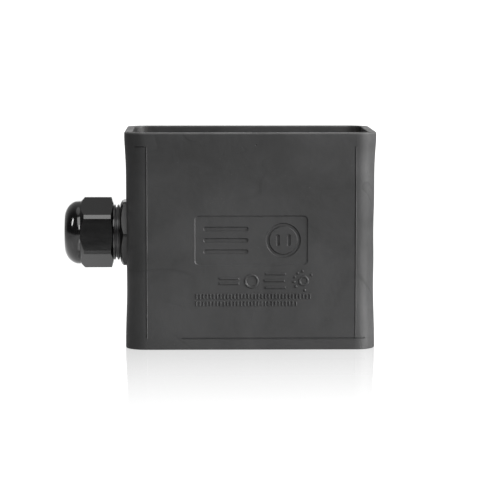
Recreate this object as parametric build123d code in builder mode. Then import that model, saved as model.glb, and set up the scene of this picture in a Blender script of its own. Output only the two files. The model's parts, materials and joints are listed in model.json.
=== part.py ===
from build123d import *
import os

# Portable outlet box, single gang, extra deep, with one cord grip.
# Frame: +Z up, origin at the centre of the base, cord grip on the -X end, marked face towards -Y.
# All dimensions in millimetres.

# ---- box shell ----
RIM_W = 128.4            # outer length at the rim
RIM_D = 77.7             # outer width at the rim
BOX_H = 110.7            # base to rim
CORNER_R = 10.5          # vertical outer corners
# outer length at each height: straight rim band, soft step, slight waist, flared foot
SECTIONS = [
    (0.0, 127.60), (6.0, 127.50), (13.0, 127.15), (21.0, 126.60), (32.0, 126.25),
    (50.0, 126.40), (75.0, 126.75), (95.0, 127.20), (99.5, 127.65), (103.5, 128.15),
    (110.7, 128.40),
]
CAV_W = 120.6            # cavity length
CAV_D = 69.9             # cavity width
CAV_R = 7.0              # cavity corners
FLOOR_T = 3.6            # floor thickness
EDGE_R = 0.6             # outer rim and foot edges
INNER_EDGE_R = 0.5       # inner rim edge

# ---- cover posts and device ledges, moulded with the shell ----
COVER_X, COVER_Y = 53.5, 28.3      # cover screw positions, plus and minus
POST_SIDE = 13.4
POST_CX, POST_CY = 54.5, 29.3
POST_R = 6.0
POST_TOP = BOX_H - 4.2
DEVICE_X = 41.65                   # half of the 83.3 mm device screw spacing
LEDGE_HALF = 6.5
LEDGE_TOP = BOX_H - 6.5
COVER_INSERT_R, COVER_INSERT_L, COVER_SCREW_R = 3.2, 12.7, 1.75
DEVICE_INSERT_R, DEVICE_INSERT_L, DEVICE_SCREW_R = 2.8, 9.5, 1.45

# ---- marked face ----
FACE_Y = 37.87                     # front wall at mid height, towards -Y
PANEL_W, PANEL_H, PANEL_R = 57.8, 25.4, 2.4
PANEL_X, PANEL_Z = 0.3, 55.9
PANEL_DEPTH = 0.6
MARK_H = 0.45                      # how far the small marks stand proud
TICK_PITCH = 1.75                  # rows of small upright ticks below the panel
LINE_X = 53.1                      # upright mould lines, plus and minus
GROOVE_PROFILE = [(-0.26, -0.8), (0.26, -0.8), (0.2, 0.45), (-0.2, 0.45)]        # section of the line, -y outwards
RIDGE_PROFILE = [(0.1, -0.16), (0.45, -0.16), (0.75, 0.08), (0.75, 0.3), (0.1, 0.3)]  # lip beside it
FOOT_HALF_W, FOOT_HALF_D = 127.50 / 2, 76.80 / 2     # outline at the foot line
BAND_HALF_W, BAND_HALF_D = 128.15 / 2, 77.45 / 2     # outline at the line below the rim

# ---- cord grip, on a line along X at height GLAND_Z ----
GLAND_Z = 56.8
AF = 33.0                          # across flats, nut and flange
CORNER_AF = 36.8                   # across the bevels on the nut's six corners
NUT_TURN = 29.5                    # how far round the nut stands, degrees
PITCH = 2.0                        # dome nut thread pitch
SEAT_X = -63.0                     # spot face on the wall
FLANGE_X = -67.1                   # outer side of the flange
BODY_END_X = -83.1
THREAD_MAJOR, THREAD_MINOR = 14.45, 13.2
ENTRY_END_X = -47.5
ENTRY_MAJOR, ENTRY_MINOR, ENTRY_PITCH = 13.2, 12.35, 1.8
BORE_R = 9.5
POCKET_R, POCKET_X = 11.5, -71.6
GROMMET_R, GROMMET_BORE_R = 11.4, 7.5
GROMMET_X0, GROMMET_X1 = -71.9, -89.4
RING_OUT, RING_IN = 12.3, 9.8
RING_X0, RING_X1 = -89.7, -91.2
NUT_END_X = -70.7
NUT_TIP_X = -95.9
NUT_THREAD_R = 14.75
NUT_STEP_X = -87.0
NUT_RING_R = 12.6
NUT_SHOULDER_X = -91.5
NUT_NOSE_R = 9.6

os.makedirs("parts", exist_ok=True)


def section_depth(w):
    return w - (RIM_W - RIM_D)


def finish(part, label):
    part.label = label
    export_step(part, f"parts/{label}.step")


# ------------------------------------------------------------------ box shell
with BuildPart() as outer_form:
    for height, length in SECTIONS:
        with BuildSketch(Plane.XY.offset(height)):
            RectangleRounded(length, section_depth(length), CORNER_R)
    loft()

# fine mould lines, each a groove with a low lip beside it: upright where the corner rounds begin,
# level near the foot, and a short one below the rim
with BuildLine() as left_upright:
    Spline(*[
        (-LINE_X, -section_depth(length) / 2, height)
        for height, length in SECTIONS if 5.0 < height < 104.0
    ])
with BuildLine() as right_upright:
    Spline(*[
        (LINE_X, -section_depth(length) / 2, height)
        for height, length in SECTIONS if 5.0 < height < 104.0
    ])
with BuildLine(Plane.XY.offset(6.0)) as foot_line:
    Line((-35.0, -FOOT_HALF_D), (FOOT_HALF_W - CORNER_R, -FOOT_HALF_D))
    CenterArc((FOOT_HALF_W - CORNER_R, -FOOT_HALF_D + CORNER_R), CORNER_R, -90, 28)
with BuildLine(Plane.XY.offset(103.5)) as rim_line:
    CenterArc((-BAND_HALF_W + CORNER_R, -BAND_HALF_D + CORNER_R), CORNER_R, -90, -28)
LINE_PATHS = [
    (left_upright.line, (1, 0, 0)), (right_upright.line, (1, 0, 0)),
    (foot_line.line, (0, 0, -1)), (rim_line.line, (0, 0, 1)),
]

with BuildPart() as line_lips:
    for path, across in LINE_PATHS:
        with BuildSketch(Plane(origin=path @ 0, x_dir=across, z_dir=path % 0)):
            with BuildLine():
                Polyline(*RIDGE_PROFILE, close=True)
            make_face()
        sweep(path=path)

with BuildPart() as line_grooves:
    for path, across in LINE_PATHS:
        with BuildSketch(Plane(origin=path @ 0, x_dir=across, z_dir=path % 0)):
            with BuildLine():
                Polyline(*GROOVE_PROFILE, close=True)
            make_face()
        sweep(path=path)

# wedge below each device ledge
with BuildPart() as ledges:
    with BuildSketch(Plane.XY.offset(78)):
        for side in (1, -1):
            with Locations((side * DEVICE_X, 0)):
                Circle(LEDGE_HALF)
            with Locations((side * (DEVICE_X + 61.4) / 2, 0)):
                Rectangle(61.4 - DEVICE_X, 2 * LEDGE_HALF)
    extrude(amount=LEDGE_TOP - 78)
    with BuildSketch(Plane.XZ.offset(-20)):
        for side in (1, -1):
            with BuildLine():
                Polyline(
                    (side * 61.5, 77), (side * 61.5, 80), (side * 34, 94.5), (side * 34, 77), close=True
                )
            make_face()
    extrude(amount=40, mode=Mode.SUBTRACT)

with BuildPart() as box_shell:
    add(outer_form.part)
    fillet(box_shell.edges().group_by(Axis.Z)[0], EDGE_R)
    fillet(box_shell.edges().group_by(Axis.Z)[-1], EDGE_R)
    with BuildSketch(Plane.XY.offset(FLOOR_T)):
        RectangleRounded(CAV_W, CAV_D, CAV_R)
    extrude(amount=BOX_H, mode=Mode.SUBTRACT)
    inner_rim = [
        e for e in box_shell.edges().group_by(Axis.Z)[-1]
        if abs(e.center().X) < CAV_W / 2 + 0.05 and abs(e.center().Y) < CAV_D / 2 + 0.05
    ]
    fillet(inner_rim, INNER_EDGE_R)

    # cover posts in the four corners
    with BuildSketch(Plane.XY.offset(FLOOR_T - 1)):
        with GridLocations(2 * POST_CX, 2 * POST_CY, 2, 2):
            RectangleRounded(POST_SIDE, POST_SIDE, POST_R)
    extrude(amount=POST_TOP - FLOOR_T + 1)
    add(ledges.part)

    # blind holes for the inserts, with room below for the screw ends
    with BuildSketch(Plane.XY.offset(POST_TOP)):
        with GridLocations(2 * COVER_X, 2 * COVER_Y, 2, 2):
            Circle(COVER_INSERT_R)
    extrude(amount=-COVER_INSERT_L, mode=Mode.SUBTRACT)
    with BuildSketch(Plane.XY.offset(POST_TOP - COVER_INSERT_L)):
        with GridLocations(2 * COVER_X, 2 * COVER_Y, 2, 2):
            Circle(COVER_SCREW_R + 0.5)
    extrude(amount=-9, mode=Mode.SUBTRACT)
    with BuildSketch(Plane.XY.offset(LEDGE_TOP)):
        with GridLocations(2 * DEVICE_X, 1, 2, 1):
            Circle(DEVICE_INSERT_R)
    extrude(amount=-DEVICE_INSERT_L, mode=Mode.SUBTRACT)

    # cord grip hole and its flat seat on the outside
    with BuildSketch(Plane.YZ.offset(-72)):
        with Locations((0, GLAND_Z)):
            Circle(ENTRY_MAJOR + 0.2)
    extrude(amount=15, mode=Mode.SUBTRACT)
    with BuildSketch(Plane.YZ.offset(SEAT_X)):
        with Locations((0, GLAND_Z)):
            Circle(19.4)
    extrude(amount=-3, mode=Mode.SUBTRACT)

    # recessed panel on the marked face, with sloped sides
    with BuildSketch(Plane.XZ.offset(FACE_Y + 0.5)):
        with Locations((PANEL_X, PANEL_Z)):
            RectangleRounded(PANEL_W + 1.0, PANEL_H + 1.0, PANEL_R + 0.5)
    extrude(amount=-(0.5 + PANEL_DEPTH), taper=45, mode=Mode.SUBTRACT)
    # plain shapes sunk into the panel: an outlet symbol (ring and two slots) and three bars
    with BuildSketch(Plane.XZ.offset(FACE_Y - PANEL_DEPTH + 0.1)):
        with Locations((16.6, PANEL_Z)):
            Circle(9.0)
            Circle(6.8, mode=Mode.SUBTRACT)
        with Locations((13.8, PANEL_Z), (19.4, PANEL_Z)):
            RectangleRounded(2.1, 6.4, 1.0)
        with Locations((-12.6, PANEL_Z + 5.8), (-12.6, PANEL_Z), (-12.6, PANEL_Z - 5.8)):
            RectangleRounded(23.2, 2.6, 1.25)
    extrude(amount=-0.7, taper=42, mode=Mode.SUBTRACT)

    # small plain raised marks below the panel: bars, a ring, a ring of dots and two rows of ticks
    with BuildSketch(Plane.XZ.offset(FACE_Y - 0.25)):
        with Locations((-11.0, 36.4), (-11.0, 33.9)):
            Rectangle(10.8, 1.7)
        with Locations((0.4, 35.1)):
            Circle(4.0)
            Circle(2.25, mode=Mode.SUBTRACT)
        with Locations((12.6, 38.8), (12.0, 35.3), (12.6, 31.8)):
            Rectangle(11.2, 1.75)
        with Locations((26.9, 35.3)):
            Circle(3.0)
            Circle(1.25, mode=Mode.SUBTRACT)
            with PolarLocations(4.9, 12, start_angle=7):
                Circle(0.95)
        with Locations((1.3, 27.3)):
            with GridLocations(TICK_PITCH, 1, 34, 1):
                Rectangle(1.6, 3.2)
        with Locations((-2.3, 23.6)):
            with GridLocations(TICK_PITCH, 1, 30, 1):
                Rectangle(1.6, 3.2)
    extrude(amount=0.25 + MARK_H, taper=44)

    add(line_lips.part)
    add(line_grooves.part, mode=Mode.SUBTRACT)
finish(box_shell.part, "box_shell")

# ------------------------------------------------------------------ brass inserts
with BuildPart() as cover_screw_inserts:
    with BuildSketch(Plane.XY.offset(POST_TOP)):
        with GridLocations(2 * COVER_X, 2 * COVER_Y, 2, 2):
            Circle(COVER_INSERT_R)
            Circle(COVER_SCREW_R, mode=Mode.SUBTRACT)
    extrude(amount=-COVER_INSERT_L)
    for depth in (3.6, 8.2):
        with BuildSketch(Plane.XY.offset(POST_TOP - depth)):
            with GridLocations(2 * COVER_X, 2 * COVER_Y, 2, 2):
                Circle(COVER_INSERT_R + 1)
                Circle(COVER_INSERT_R - 0.35, mode=Mode.SUBTRACT)
        extrude(amount=-1.0, mode=Mode.SUBTRACT)
finish(cover_screw_inserts.part, "cover_screw_inserts")

with BuildPart() as device_screw_inserts:
    with BuildSketch(Plane.XY.offset(LEDGE_TOP)):
        with GridLocations(2 * DEVICE_X, 1, 2, 1):
            Circle(DEVICE_INSERT_R)
            Circle(DEVICE_SCREW_R, mode=Mode.SUBTRACT)
    extrude(amount=-DEVICE_INSERT_L)
    with BuildSketch(Plane.XY.offset(LEDGE_TOP - 4.2)):
        with GridLocations(2 * DEVICE_X, 1, 2, 1):
            Circle(DEVICE_INSERT_R + 1)
            Circle(DEVICE_INSERT_R - 0.3, mode=Mode.SUBTRACT)
    extrude(amount=-1.0, mode=Mode.SUBTRACT)
finish(device_screw_inserts.part, "device_screw_inserts")

# ------------------------------------------------------------------ cord grip
GLAND_AXIS = Axis((0, 0, GLAND_Z), (1, 0, 0))


def ridged_profile(x_start, x_end, pitch, minor, major, crest=0.8):
    """Points along a row of thread ridges from x_start towards x_end, as (x, radius)."""
    step = pitch if x_end > x_start else -pitch
    flat = crest / 2 * (1 if step > 0 else -1)
    root = pitch * 0.14 * (1 if step > 0 else -1)
    points = []
    x = x_start
    while abs(x_end - x) >= pitch - 1e-6:
        middle = x + step / 2
        points += [(x + root, minor), (middle - flat, major), (middle + flat, major), (x + step - root, minor)]
        x += step
    return points


# body: entry thread, six-sided flange, outer thread, pocket for the grommet
with BuildPart() as gland_body:
    with BuildSketch(Plane.XZ):
        with BuildLine():
            outer = [(x, GLAND_Z + r) for x, r in (
                [(ENTRY_END_X, BORE_R + 1.0), (ENTRY_END_X, ENTRY_MINOR - 0.5), (ENTRY_END_X - 0.8, ENTRY_MINOR)]
                + ridged_profile(ENTRY_END_X - 0.9, SEAT_X + 2.4, ENTRY_PITCH, ENTRY_MINOR, ENTRY_MAJOR, 0.3)
                + [(SEAT_X + 1.9, ENTRY_MINOR), (SEAT_X, ENTRY_MINOR), (SEAT_X, THREAD_MINOR), (FLANGE_X, THREAD_MINOR)]
                + ridged_profile(FLANGE_X - 0.1, BODY_END_X + 0.4, PITCH, THREAD_MINOR, THREAD_MAJOR)
                + [(BODY_END_X + 0.5, THREAD_MINOR), (BODY_END_X, THREAD_MINOR - 0.5)]
                + [(BODY_END_X, POCKET_R + 0.3), (BODY_END_X + 0.3, POCKET_R), (POCKET_X, POCKET_R)]
                + [(POCKET_X + 2.0, BORE_R), (ENTRY_END_X - 1.0, BORE_R)]
            )]
            Polyline(*outer, close=True)
        make_face()
    revolve(axis=GLAND_AXIS)
    # flange: six sides with the corners turned off, one corner towards -Y
    with BuildSketch(Plane.YZ.offset(FLANGE_X)):
        with Locations((0, GLAND_Z)):
            RegularPolygon(AF / 2, 6, major_radius=False, rotation=0)
            Circle(18.6, mode=Mode.INTERSECT)
            Circle(THREAD_MINOR - 0.6, mode=Mode.SUBTRACT)
    extrude(amount=SEAT_X - FLANGE_X)
    # bevel on the outer side of the flange
    with BuildSketch(Plane.XZ):
        with BuildLine():
            Polyline(
                (FLANGE_X - 0.2, GLAND_Z + 15.0), (FLANGE_X, GLAND_Z + 15.0),
                (FLANGE_X + 1.9, GLAND_Z + 18.7), (FLANGE_X + 1.9, GLAND_Z + 20.5),
                (FLANGE_X - 0.2, GLAND_Z + 20.5), close=True,
            )
        make_face()
    revolve(axis=GLAND_AXIS, mode=Mode.SUBTRACT)
    # groove for the entry seal, in the side that faces the wall
    with BuildSketch(Plane.YZ.offset(SEAT_X)):
        with Locations((0, GLAND_Z)):
            Circle(16.0)
            Circle(13.8, mode=Mode.SUBTRACT)
    extrude(amount=-1.4, mode=Mode.SUBTRACT)
finish(gland_body.part, "gland_body")

with BuildPart() as entry_seal:
    with BuildSketch(Plane.YZ.offset(SEAT_X)):
        with Locations((0, GLAND_Z)):
            Circle(16.0)
            Circle(13.8, mode=Mode.SUBTRACT)
    extrude(amount=-1.4)
finish(entry_seal.part, "entry_seal")

with BuildPart() as steel_washer:
    with BuildSketch(Plane.YZ.offset(-CAV_W / 2)):
        with Locations((0, GLAND_Z)):
            Circle(18.6)
            Circle(ENTRY_MAJOR + 0.2, mode=Mode.SUBTRACT)
    extrude(amount=1.5)
finish(steel_washer.part, "steel_washer")

with BuildPart() as locknut:
    with BuildSketch(Plane.YZ.offset(-CAV_W / 2 + 1.5)):
        with Locations((0, GLAND_Z)):
            RegularPolygon(18.0, 6, major_radius=False, rotation=30)
            Circle(20.0, mode=Mode.INTERSECT)
            Circle(ENTRY_MAJOR + 0.05, mode=Mode.SUBTRACT)
    extrude(amount=6.0)
    with BuildSketch(Plane.XZ):
        with BuildLine():
            Polyline(
                (-CAV_W / 2 + 7.6, GLAND_Z + 18.0), (-CAV_W / 2 + 7.5, GLAND_Z + 18.0),
                (-CAV_W / 2 + 6.3, GLAND_Z + 20.2), (-CAV_W / 2 + 6.3, GLAND_Z + 21.5),
                (-CAV_W / 2 + 7.6, GLAND_Z + 21.5), close=True,
            )
        make_face()
    revolve(axis=GLAND_AXIS, mode=Mode.SUBTRACT)
finish(locknut.part, "locknut")

with BuildPart() as sealing_grommet:
    with BuildSketch(Plane.XZ):
        with BuildLine():
            Polyline(*[(x, GLAND_Z + r) for x, r in (
                (GROMMET_X0, GROMMET_BORE_R + 0.6), (GROMMET_X0 - 0.6, GROMMET_BORE_R),
                (GROMMET_X1 + 0.8, GROMMET_BORE_R), (GROMMET_X1, GROMMET_BORE_R + 0.8),
                (GROMMET_X1, GROMMET_R - 0.6), (GROMMET_X1 + 0.8, GROMMET_R),
                (GROMMET_X0 - 0.6, GROMMET_R), (GROMMET_X0, GROMMET_R - 0.6),
            )], close=True)
        make_face()
    revolve(axis=GLAND_AXIS)
finish(sealing_grommet.part, "sealing_grommet")

with BuildPart() as slip_ring:
    with BuildSketch(Plane.XZ):
        with BuildLine():
            Polyline(*[(x, GLAND_Z + r) for x, r in (
                (RING_X0, RING_IN + 0.3), (RING_X0 - 0.3, RING_IN), (RING_X1 + 0.3, RING_IN),
                (RING_X1, RING_IN + 0.3), (RING_X1, RING_OUT - 0.3), (RING_X1 + 0.3, RING_OUT),
                (RING_X0 - 0.3, RING_OUT), (RING_X0, RING_OUT - 0.3),
            )], close=True)
        make_face()
    revolve(axis=GLAND_AXIS)
finish(slip_ring.part, "slip_ring")

# outline of the nut seen from its end: a hexagon with flat bevels on its corners
with BuildSketch() as nut_outline:
    RegularPolygon(AF / 2, 6, major_radius=False, rotation=NUT_TURN)
    RegularPolygon(CORNER_AF / 2, 6, major_radius=False, rotation=NUT_TURN - 30, mode=Mode.INTERSECT)

# dome nut: turned outline, six flats over its hexagon, stepped inside
with BuildPart() as dome_nut:
    with BuildSketch(Plane.XZ):
        with BuildLine():
            Line((NUT_TIP_X + 0.5, GLAND_Z + NUT_NOSE_R), (NUT_TIP_X, GLAND_Z + NUT_NOSE_R + 0.45))
            Spline(*[(x, GLAND_Z + r) for x, r in (
                (NUT_TIP_X, NUT_NOSE_R + 0.45), (-95.35, 11.6), (-94.45, 13.2), (-93.2, 14.6),
                (-91.5, 15.8), (-90.0, 16.35), (-88.9, 16.5), (-87.7, 16.35),
            )])
            Polyline(*[(x, GLAND_Z + r) for x, r in (
                (-87.7, 16.35), (-85.2, 18.9), (-71.9, 18.9), (NUT_END_X, 15.8),
                (NUT_END_X, NUT_THREAD_R + 0.25), (NUT_END_X - 0.5, NUT_THREAD_R),
                (NUT_STEP_X, NUT_THREAD_R), (NUT_STEP_X, NUT_RING_R),
                (NUT_SHOULDER_X, NUT_RING_R), (NUT_SHOULDER_X, NUT_NOSE_R),
                (NUT_TIP_X + 0.5, NUT_NOSE_R),
            )])
        make_face()
    revolve(axis=GLAND_AXIS)
    # flats and corner bevels: everything outside that outline is taken off
    with BuildSketch(Plane.YZ.offset(-89.5)):
        with Locations((0, GLAND_Z)):
            Circle(24)
            add(nut_outline.sketch, mode=Mode.SUBTRACT)
    extrude(amount=20, mode=Mode.SUBTRACT)
finish(dome_nut.part, "dome_nut")

NODES = [box_shell, cover_screw_inserts, device_screw_inserts, gland_body, entry_seal,
         steel_washer, locknut, sealing_grommet, slip_ring, dome_nut]
for node in NODES:
    size = node.part.bounding_box().size
    print(f"{node.part.label}: {len(node.part.solids())} solid(s), {node.part.volume:.0f} mm3, "
          f"{size.X:.1f} x {size.Y:.1f} x {size.Z:.1f} mm")
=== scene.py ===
import json
import math

import bpy
import bmesh
from mathutils import Matrix, Vector


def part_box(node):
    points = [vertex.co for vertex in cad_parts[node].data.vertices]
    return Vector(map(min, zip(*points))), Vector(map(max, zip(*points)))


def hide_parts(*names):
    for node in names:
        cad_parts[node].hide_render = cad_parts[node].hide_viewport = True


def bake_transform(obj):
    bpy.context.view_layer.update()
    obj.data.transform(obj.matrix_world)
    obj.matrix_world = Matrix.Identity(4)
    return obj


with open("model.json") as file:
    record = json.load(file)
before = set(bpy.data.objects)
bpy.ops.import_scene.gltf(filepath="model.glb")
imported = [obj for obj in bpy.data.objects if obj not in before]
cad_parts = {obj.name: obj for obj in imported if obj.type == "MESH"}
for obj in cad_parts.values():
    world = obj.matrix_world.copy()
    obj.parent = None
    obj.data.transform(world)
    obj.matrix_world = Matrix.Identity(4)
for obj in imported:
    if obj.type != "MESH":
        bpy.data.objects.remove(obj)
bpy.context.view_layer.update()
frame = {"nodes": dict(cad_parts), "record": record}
nodes = frame["nodes"]


# ------------------------------------------------------------------ camera
def make_camera():
    data = bpy.data.cameras.new("camera")
    cam = bpy.data.objects.new("camera", data)
    bpy.context.scene.collection.objects.link(cam)
    data.sensor_width = 36.0
    data.lens = 171.2
    data.clip_start = 0.05
    data.clip_end = 50.0
    cam.location = (-0.0268, -1.23885, 0.1723)
    cam.rotation_euler = (math.radians(90 - 5.763), math.radians(-0.03), math.radians(-1.259))
    bpy.context.scene.camera = cam
    return cam


camera = make_camera()


# ------------------------------------------------------------------ node helpers
def new_material(name):
    mat = bpy.data.materials.new(name)
    mat.use_nodes = True
    nt = mat.node_tree
    nt.nodes.clear()
    out = nt.nodes.new("ShaderNodeOutputMaterial")
    bsdf = nt.nodes.new("ShaderNodeBsdfPrincipled")
    nt.links.new(bsdf.outputs["BSDF"], out.inputs["Surface"])
    return mat, nt, bsdf


def coords(nt):
    tc = nt.nodes.new("ShaderNodeTexCoord")
    return tc.outputs["Object"]


def mapping(nt, vec, scale=(1, 1, 1), rot=(0, 0, 0)):
    m = nt.nodes.new("ShaderNodeMapping")
    m.inputs["Scale"].default_value = scale
    m.inputs["Rotation"].default_value = rot
    nt.links.new(vec, m.inputs["Vector"])
    return m.outputs["Vector"]


def noise(nt, vec, scale, detail=3.0, rough=0.55, distortion=0.0):
    n = nt.nodes.new("ShaderNodeTexNoise")
    n.inputs["Scale"].default_value = scale
    n.inputs["Detail"].default_value = detail
    n.inputs["Roughness"].default_value = rough
    n.inputs["Distortion"].default_value = distortion
    nt.links.new(vec, n.inputs["Vector"])
    return n.outputs["Fac"]


def ramp(nt, fac, stops, interp="LINEAR"):
    r = nt.nodes.new("ShaderNodeValToRGB")
    r.color_ramp.interpolation = interp
    els = r.color_ramp.elements
    while len(els) > len(stops):
        els.remove(els[-1])
    while len(els) < len(stops):
        els.new(0.5)
    for el, (pos, col) in zip(els, stops):
        el.position = pos
        el.color = col if len(col) == 4 else (*col, 1.0)
    nt.links.new(fac, r.inputs["Fac"])
    return r.outputs["Color"]


def maprange(nt, fac, a, b, c, d):
    m = nt.nodes.new("ShaderNodeMapRange")
    m.inputs["From Min"].default_value = a
    m.inputs["From Max"].default_value = b
    m.inputs["To Min"].default_value = c
    m.inputs["To Max"].default_value = d
    nt.links.new(fac, m.inputs["Value"])
    return m.outputs["Result"]


def smooth_range(nt, fac, a, b, c, d):
    m = nt.nodes.new("ShaderNodeMapRange")
    m.interpolation_type = "SMOOTHSTEP"
    m.inputs["From Min"].default_value = a
    m.inputs["From Max"].default_value = b
    m.inputs["To Min"].default_value = c
    m.inputs["To Max"].default_value = d
    nt.links.new(fac, m.inputs["Value"])
    return m.outputs["Result"]


def math_node(nt, op, a, b=None, clamp=False):
    m = nt.nodes.new("ShaderNodeMath")
    m.operation = op
    m.use_clamp = clamp
    for i, v in enumerate((a, b)):
        if v is None:
            continue
        if isinstance(v, (int, float)):
            m.inputs[i].default_value = v
        else:
            nt.links.new(v, m.inputs[i])
    return m.outputs[0]


def mix_color(nt, fac, a, b, blend="MIX"):
    m = nt.nodes.new("ShaderNodeMix")
    m.data_type = "RGBA"
    m.blend_type = blend
    for key, v in (("Factor", fac), ("A", a), ("B", b)):
        sock = [s for s in m.inputs if s.name == key and (key == "Factor" and s.type == "VALUE" or s.type == "RGBA")][0]
        if hasattr(v, "links") or hasattr(v, "is_linked"):
            nt.links.new(v, sock)
        elif key == "Factor":
            sock.default_value = v
        else:
            sock.default_value = (*v, 1.0)
    return [o for o in m.outputs if o.type == "RGBA"][0]


def bump(nt, height, strength, distance, normal=None):
    b = nt.nodes.new("ShaderNodeBump")
    b.inputs["Strength"].default_value = strength
    b.inputs["Distance"].default_value = distance
    nt.links.new(height, b.inputs["Height"])
    if normal is not None:
        nt.links.new(normal, b.inputs["Normal"])
    return b.outputs["Normal"]


# ------------------------------------------------------------------ materials
def shifted(nt, vec, offset):
    m = nt.nodes.new("ShaderNodeVectorMath")
    m.operation = "ADD"
    nt.links.new(vec, m.inputs[0])
    m.inputs[1].default_value = offset
    return m.outputs["Vector"]


def spots(nt, vec, scale, radius, share):
    """Small scattered pits: 1 inside a pit, 0 elsewhere; share is the part of the cells that has one."""
    v = nt.nodes.new("ShaderNodeTexVoronoi")
    v.inputs["Scale"].default_value = scale
    nt.links.new(vec, v.inputs["Vector"])
    pick = nt.nodes.new("ShaderNodeSeparateColor")
    nt.links.new(v.outputs["Color"], pick.inputs["Color"])
    chosen = maprange(nt, pick.outputs["Red"], 1.0 - share, 1.0 - share + 0.02, 0.0, 1.0)
    inside = smooth_range(nt, v.outputs["Distance"], 0.4 * radius, radius, 1.0, 0.0)
    return math_node(nt, "MULTIPLY", chosen, inside)


def elastomer(name="box_elastomer_mat"):
    """Satin black moulded elastomer: cloudy sheen, flow marks, fine grain, a few nicks darkened inside with painted
    shade, and a rim top painted paler as a painted highlight.
    """
    mat, nt, bsdf = new_material(name)
    vec = coords(nt)
    warp = nt.nodes.new("ShaderNodeTexNoise")
    warp.inputs["Scale"].default_value = 30.0
    warp.inputs["Detail"].default_value = 2.0
    nt.links.new(vec, warp.inputs["Vector"])
    bend = nt.nodes.new("ShaderNodeVectorMath")
    bend.operation = "MULTIPLY_ADD"
    nt.links.new(warp.outputs["Color"], bend.inputs[0])
    bend.inputs[1].default_value = (0.010, 0.010, 0.010)
    nt.links.new(vec, bend.inputs[2])
    soft = bend.outputs["Vector"]
    broad = noise(nt, shifted(nt, vec, (0.31, 0.17, 0.53)), 13.0, 1.0, 0.5, 0.6)
    cloud = noise(nt, soft, 42.0, 4.0, 0.6, 0.4)
    patch = noise(nt, mapping(nt, soft, (1.0, 1.0, 0.6)), 95.0, 3.0, 0.55, 0.8)
    grain = noise(nt, vec, 2600.0, 3.0, 0.6)
    speck = noise(nt, vec, 900.0, 2.0, 0.5)
    dust = ramp(nt, speck, [(0.0, (0, 0, 0)), (0.71, (0, 0, 0)), (0.79, (1, 1, 1))])
    # flow marks: thin wandering lines where the material met, only here and there
    flow = noise(nt, mapping(nt, soft, (1.0, 1.0, 1.5), (0.0, 0.6, 0.0)), 17.0, 1.0, 0.4, 1.4)
    line = ramp(nt, flow, [(0.0, (0, 0, 0)), (0.480, (0, 0, 0)), (0.500, (1, 1, 1)), (0.540, (0, 0, 0))])
    where = smooth_range(nt, noise(nt, shifted(nt, vec, (0.9, 0.2, 0.4)), 26.0, 1.0, 0.5), 0.50, 0.60, 0.0, 1.0)
    line = math_node(nt, "MULTIPLY", line, where)
    nick_pit_and_painted_shade = spots(nt, soft, 120.0, 0.075, 0.10)
    # colour
    mottle = math_node(nt, "ADD", maprange(nt, broad, 0.32, 0.68, 0.0, 0.46), maprange(nt, cloud, 0.32, 0.68, 0.04, 0.32))
    mottle = math_node(nt, "ADD", mottle, maprange(nt, patch, 0.34, 0.66, 0.04, 0.16))
    mottle = math_node(nt, "SUBTRACT", mottle, math_node(nt, "MULTIPLY", line, 0.15))
    base = ramp(nt, mottle, [(0.18, (0.0055, 0.0055, 0.0056)), (0.5, (0.0120, 0.0120, 0.0122)), (0.82, (0.0205, 0.0205, 0.0208))])
    # the rim top is painted paler: a painted highlight along the rim's lit top edge
    split = nt.nodes.new("ShaderNodeSeparateXYZ")
    nt.links.new(vec, split.inputs[0])
    rim_painted_highlight = smooth_range(nt, split.outputs["Z"], 0.1096, 0.1104, 0.0, 1.0)
    rim_painted_highlight = math_node(nt, "MULTIPLY", rim_painted_highlight, maprange(nt, patch, 0.3, 0.7, 0.55, 1.0))
    base = mix_color(nt, rim_painted_highlight, base, (0.048, 0.048, 0.048))
    base = mix_color(nt, math_node(nt, "MULTIPLY", dust, 0.22), base, (0.070, 0.070, 0.069))
    # the nicks are painted near black inside: painted shade in the pits
    base = mix_color(nt, math_node(nt, "MULTIPLY", nick_pit_and_painted_shade, 0.8), base, (0.002, 0.002, 0.002))
    nt.links.new(base, bsdf.inputs["Base Color"])
    # sheen
    rough = maprange(nt, broad, 0.33, 0.67, 0.565, 0.445)
    rough = math_node(nt, "ADD", rough, maprange(nt, cloud, 0.3, 0.7, 0.045, -0.045))
    rough = math_node(nt, "ADD", rough, maprange(nt, patch, 0.3, 0.7, 0.022, -0.022))
    rough = math_node(nt, "ADD", rough, maprange(nt, grain, 0.3, 0.7, -0.03, 0.03))
    rough = math_node(nt, "ADD", rough, math_node(nt, "MULTIPLY", line, 0.09))
    nt.links.new(rough, bsdf.inputs["Roughness"])
    # relief
    scratch = noise(nt, mapping(nt, vec, (5.0, 5.0, 160.0), (0.35, 0.55, 0.2)), 14.0, 2.0, 0.5)
    scratch = ramp(nt, scratch, [(0.0, (0, 0, 0)), (0.735, (0, 0, 0)), (0.76, (1, 1, 1)), (0.79, (0, 0, 0))])
    n1 = bump(nt, grain, 0.22, 0.00006)
    n2 = bump(nt, cloud, 0.40, 0.0008, n1)
    n3 = bump(nt, scratch, 0.20, 0.00008, n2)
    n4 = bump(nt, math_node(nt, "ADD", math_node(nt, "MULTIPLY", line, -0.5), math_node(nt, "MULTIPLY", nick_pit_and_painted_shade, -1.6)), 0.45, 0.00022, n3)
    nt.links.new(n4, bsdf.inputs["Normal"])
    bsdf.inputs["IOR"].default_value = 1.36
    return mat


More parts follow.
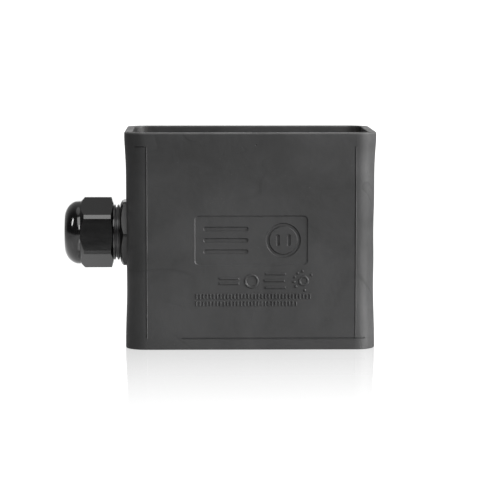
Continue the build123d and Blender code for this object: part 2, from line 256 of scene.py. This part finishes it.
def nylon(name="gland_nylon_mat", base=(0.003, 0.003, 0.0031), rough=(0.08, 0.13)):
    """Black moulded nylon: glossy, faint flow marks, handling marks."""
    mat, nt, bsdf = new_material(name)
    vec = coords(nt)
    flow = noise(nt, mapping(nt, vec, (1.0, 3.0, 3.0)), 60.0, 4.0, 0.55, 0.8)
    fine = noise(nt, vec, 1500.0, 2.0, 0.5)
    wear = noise(nt, vec, 240.0, 4.0, 0.65)
    col = ramp(nt, flow, [(0.3, tuple(0.8 * c for c in base)), (0.7, tuple(1.35 * c for c in base))])
    marks = ramp(nt, wear, [(0.0, (0, 0, 0)), (0.66, (0, 0, 0)), (0.72, (1, 1, 1))])
    col = mix_color(nt, math_node(nt, "MULTIPLY", marks, 0.3), col, tuple(3.0 * c for c in base))
    nt.links.new(col, bsdf.inputs["Base Color"])
    r = maprange(nt, flow, 0.3, 0.7, rough[0], rough[1])
    r = math_node(nt, "ADD", r, math_node(nt, "MULTIPLY", marks, 0.12))
    # the flange by the wall and the thread beside it come less polished from the mould than the nut
    split = nt.nodes.new("ShaderNodeSeparateXYZ")
    nt.links.new(vec, split.inputs[0])
    r = math_node(nt, "ADD", r, smooth_range(nt, split.outputs["X"], NUT_END + 0.0002, NUT_END + 0.0008, 0.0, 0.22))
    nt.links.new(r, bsdf.inputs["Roughness"])
    n1 = bump(nt, fine, 0.12, 0.00005)
    n2 = bump(nt, flow, 0.10, 0.0002, n1)
    nt.links.new(n2, bsdf.inputs["Normal"])
    bsdf.inputs["IOR"].default_value = 1.58
    return mat


def rubber(name="seal_rubber_mat"):
    mat, nt, bsdf = new_material(name)
    vec = coords(nt)
    cloud = noise(nt, vec, 120.0, 4.0, 0.6)
    grain = noise(nt, vec, 3000.0, 3.0, 0.6)
    col = ramp(nt, cloud, [(0.3, (0.020, 0.020, 0.020)), (0.75, (0.036, 0.035, 0.034))])
    nt.links.new(col, bsdf.inputs["Base Color"])
    nt.links.new(maprange(nt, cloud, 0.3, 0.7, 0.55, 0.72), bsdf.inputs["Roughness"])
    nt.links.new(bump(nt, grain, 0.35, 0.00008), bsdf.inputs["Normal"])
    return mat


def natural_nylon(name="ring_nylon_mat"):
    mat, nt, bsdf = new_material(name)
    vec = coords(nt)
    cloud = noise(nt, vec, 160.0, 3.0, 0.5)
    fine = noise(nt, vec, 1800.0, 2.0, 0.5)
    nt.links.new(ramp(nt, cloud, [(0.3, (0.56, 0.545, 0.49)), (0.7, (0.66, 0.65, 0.60))]), bsdf.inputs["Base Color"])
    nt.links.new(maprange(nt, cloud, 0.3, 0.7, 0.38, 0.5), bsdf.inputs["Roughness"])
    nt.links.new(bump(nt, fine, 0.15, 0.00005), bsdf.inputs["Normal"])
    bsdf.inputs["Subsurface Weight"].default_value = 0.15
    bsdf.inputs["Subsurface Radius"].default_value = (0.002, 0.002, 0.0015)
    return mat


def metal(name, low, high, rough, rings=None):
    """Turned or plated metal: tone varies, fine tool marks."""
    mat, nt, bsdf = new_material(name)
    vec = coords(nt)
    cloud = noise(nt, vec, 220.0, 4.0, 0.6)
    fine = noise(nt, mapping(nt, vec, (1.0, 1.0, 12.0)), 900.0, 3.0, 0.6)
    nt.links.new(ramp(nt, cloud, [(0.3, low), (0.7, high)]), bsdf.inputs["Base Color"])
    nt.links.new(maprange(nt, cloud, 0.3, 0.7, rough[0], rough[1]), bsdf.inputs["Roughness"])
    bsdf.inputs["Metallic"].default_value = 1.0
    nt.links.new(bump(nt, fine, 0.25, 0.00006), bsdf.inputs["Normal"])
    return mat


NUT_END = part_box("dome_nut")[1][0]

MATS = {
    "box_elastomer": elastomer(),
    "gland_nylon": nylon(),
    "seal_rubber": rubber(),
    "ring_nylon": natural_nylon(),
    "insert_brass": metal("insert_brass_mat", (0.58, 0.42, 0.18), (0.76, 0.59, 0.29), (0.24, 0.38)),
    "washer_steel": metal("washer_steel_mat", (0.50, 0.50, 0.51), (0.68, 0.68, 0.69), (0.28, 0.42)),
}


def set_material(obj, mat):
    obj.data.materials.clear()
    obj.data.materials.append(mat)


SLOT_OF = {s["node"]: s["material_slot"] for s in frame["record"]["subparts"]}
for name, obj in nodes.items():
    set_material(obj, MATS[SLOT_OF[name]])


# ------------------------------------------------------------------ soft grommet
def make_grommet():
    """The grommet is squeezed between the gland body and the slip ring; this is a copy of its CAD mesh in seal rubber,
    shown in place of the CAD part.
    """
    source = nodes["sealing_grommet"]
    mesh = source.data.copy()
    obj = bpy.data.objects.new("grommet_soft", mesh)
    bpy.context.scene.collection.objects.link(obj)
    set_material(obj, MATS["seal_rubber"])
    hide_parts("sealing_grommet")
    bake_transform(obj)
    return obj


grommet = make_grommet()


# ------------------------------------------------------------------ stage
def make_floor():
    """A pale sweep: flat floor that curves up into a back wall."""
    mesh = bpy.data.meshes.new("floor_sweep")
    bm = bmesh.new()
    width, front, back, radius, height = 4.0, -3.0, 2.2, 0.9, 1.25
    profile = [(front, 0.0), (back - radius, 0.0)]
    for k in range(1, 17):
        a = math.radians(90 * k / 16)
        profile.append((back - radius + radius * math.sin(a), radius - radius * math.cos(a)))
    profile.append((back, height))
    rows = []
    for y, z in profile:
        rows.append([bm.verts.new((x, y, z)) for x in (-width, -width / 3, width / 3, width)])
    for a, b in zip(rows, rows[1:]):
        for i in range(3):
            bm.faces.new((a[i], a[i + 1], b[i + 1], b[i]))
    bm.normal_update()
    bm.to_mesh(mesh)
    bm.free()
    for p in mesh.polygons:
        p.use_smooth = True
    obj = bpy.data.objects.new("floor_sweep", mesh)
    bpy.context.scene.collection.objects.link(obj)
    mesh.materials.append(floor_material())
    return obj


def floor_material():
    """White acrylic sweep, lit from inside, brightest round the object, with a soft reflection close to it."""
    mat = bpy.data.materials.new("floor_mat")
    mat.use_nodes = True
    nt = mat.node_tree
    nt.nodes.clear()
    out = nt.nodes.new("ShaderNodeOutputMaterial")
    vec = coords(nt)
    sep = nt.nodes.new("ShaderNodeSeparateXYZ")
    nt.links.new(vec, sep.inputs[0])
    x, y = sep.outputs["X"], sep.outputs["Y"]
    diffuse = nt.nodes.new("ShaderNodeBsdfDiffuse")
    glow = nt.nodes.new("ShaderNodeEmission")
    near = smooth_range(nt, y, -0.66, -0.42, FLOOR_FAR, FLOOR_NEAR)
    across = math_node(nt, "ADD", x, math_node(nt, "MULTIPLY", y, 0.082))
    side = math_node(nt, "MULTIPLY", smooth_range(nt, across, -0.38, -0.15, 0.14, 1.0), smooth_range(nt, across, 0.75, 1.10, 1.0, 0.4))
    wall = smooth_range(nt, y, 0.9, 1.9, 1.0, 1.6)
    nt.links.new(math_node(nt, "MULTIPLY", math_node(nt, "MULTIPLY", near, side), wall), glow.inputs["Strength"])
    tone = math_node(nt, "SUBTRACT", 0.45, math_node(nt, "MULTIPLY", side, 0.35))
    tone = math_node(nt, "MULTIPLY", tone, smooth_range(nt, y, -0.80, -0.45, 0.35, 1.0))
    nt.links.new(math_node(nt, "MULTIPLY", tone, 1.0), diffuse.inputs["Color"])
    wall = smooth_range(nt, y, 0.9, 1.9, 1.0, 1.7)
    nt.links.new(math_node(nt, "MULTIPLY", math_node(nt, "MULTIPLY", near, side), wall), glow.inputs["Strength"])
    body = nt.nodes.new("ShaderNodeAddShader")
    nt.links.new(diffuse.outputs[0], body.inputs[0])
    nt.links.new(glow.outputs[0], body.inputs[1])
    gloss = nt.nodes.new("ShaderNodeBsdfGlossy")
    gloss.inputs["Color"].default_value = (1.0, 1.0, 1.0, 1.0)
    gloss.inputs["Roughness"].default_value = 0.06
    mix = nt.nodes.new("ShaderNodeMixShader")
    sheen = maprange(nt, y, -0.27, -0.03, 0.01, FLOOR_GLOSS)
    sheen = math_node(nt, "MULTIPLY", sheen, smooth_range(nt, x, -0.12, -0.07, 0.05, 1.0))
    nt.links.new(sheen, mix.inputs[0])
    nt.links.new(body.outputs[0], mix.inputs[1])
    nt.links.new(gloss.outputs[0], mix.inputs[2])
    nt.links.new(mix.outputs[0], out.inputs["Surface"])
    return mat


FLOOR_NEAR, FLOOR_FAR, FLOOR_GLOSS = 0.92, 0.06, 0.37
WORLD_HIGH, WORLD_LOW = 0.50, 0.04
floor = make_floor()


def area(name, loc, target, size, radiance, size_y=None):
    """A softbox of the given brightness, so its power follows from its size."""
    data = bpy.data.lights.new(name, "AREA")
    data.shape = "RECTANGLE"
    data.size = size
    data.size_y = size_y or size
    data.energy = radiance * math.pi * data.size * data.size_y
    obj = bpy.data.objects.new(name, data)
    bpy.context.scene.collection.objects.link(obj)
    obj.location = loc
    d = Vector(target) - Vector(loc)
    obj.rotation_euler = d.to_track_quat("-Z", "Y").to_euler()
    return obj


area("softbox_right", (0.92, -0.50, 0.40), (0, 0, 0.06), 0.80, 17.0, 0.80)
area("softbox_front", (0.32, -1.22, 1.36), (0, 0, 0.06), 1.30, 3.8, 1.00)
area("low_front", (0.45, -1.30, 0.62), (0, 0, 0.06), 0.50, 10.0, 0.40)
area("small_left", (-1.20, -0.48, 0.79), (-0.09, 0, 0.06), 0.28, 14.0, 0.52)
area("right_rear", (1.05, 0.30, 0.35), (0, 0, 0.06), 0.50, 5.0, 0.60)

world = bpy.data.worlds.new("world")
bpy.context.scene.world = world
world.use_nodes = True
wnt = world.node_tree
bg = wnt.nodes["Background"]
wtc = wnt.nodes.new("ShaderNodeTexCoord")
toward = wnt.nodes.new("ShaderNodeVectorMath")
toward.operation = "DOT_PRODUCT"
toward.inputs[1].default_value = (-0.66, -0.75, 0.0)
wnt.links.new(wtc.outputs["Generated"], toward.inputs[0])
wsep = wnt.nodes.new("ShaderNodeSeparateXYZ")
wnt.links.new(wtc.outputs["Generated"], wsep.inputs[0])
bg.inputs["Color"].default_value = (1.0, 1.0, 1.0, 1.0)
around = smooth_range(wnt, toward.outputs["Value"], -0.35, 0.55, WORLD_HIGH, WORLD_LOW)
up = smooth_range(wnt, wsep.outputs["Z"], 0.15, 0.65, 1.0, 0.85)
# a broad soft patch straight overhead, so that the inside of the box isn't lost from above
overhead = smooth_range(wnt, wsep.outputs["Z"], 0.925, 0.97, 0.0, 0.85)
wnt.links.new(math_node(wnt, "ADD", math_node(wnt, "MULTIPLY", around, up), overhead), bg.inputs["Strength"])

scene = bpy.context.scene
scene.view_settings.view_transform = "Standard"
scene.view_settings.look = "None"
scene.view_settings.exposure = 0.0
